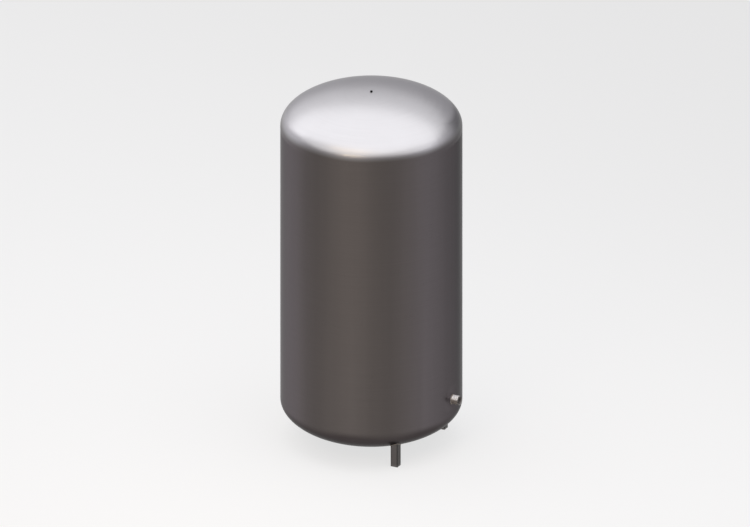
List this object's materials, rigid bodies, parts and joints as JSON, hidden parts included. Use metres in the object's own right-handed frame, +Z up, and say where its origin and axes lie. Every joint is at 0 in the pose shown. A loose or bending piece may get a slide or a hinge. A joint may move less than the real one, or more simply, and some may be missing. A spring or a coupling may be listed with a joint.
{
  "type": "vertical pressure tank",
  "caption": "Upright cylindrical steel pressure tank with semi-elliptical ends, three short square legs, a low open pipe nozzle and a small vent plug on top.",
  "frame": {"origin": "on the vessel's vertical axis, at the level of the feet", "axes": "+Z up along the vessel's axis, +X along the open nozzle, two legs beside the nozzle at 44 degrees to +X and one leg on -X"},
  "size_m": [1.254, 1.2, 2.4945],
  "materials": {
    "vessel_steel": "satin",
    "weld_metal": "ground flush",
    "leg_steel": "satin",
    "plug_black": "black oxide"
  },
  "bodies": {
    "root": {"shell": "vessel_steel", "shell_seam_weld": "weld_metal", "lower_girth_weld": "weld_metal", "upper_girth_weld": "weld_metal", "bottom_head": "vessel_steel", "top_head": "vessel_steel", "nozzle_pipe": "vessel_steel", "nozzle_weld": "weld_metal", "vent_boss": "vessel_steel", "vent_boss_weld": "weld_metal", "vent_plug": "plug_black", "leg_front_right": "leg_steel", "leg_back_right": "leg_steel", "leg_left": "leg_steel", "leg_weld_front_right": "weld_metal", "leg_weld_back_right": "weld_metal", "leg_weld_left": "weld_metal", "foot_plate_front_right": "leg_steel", "foot_plate_back_right": "leg_steel", "foot_plate_left": "leg_steel"}
  },
  "joints": []
}
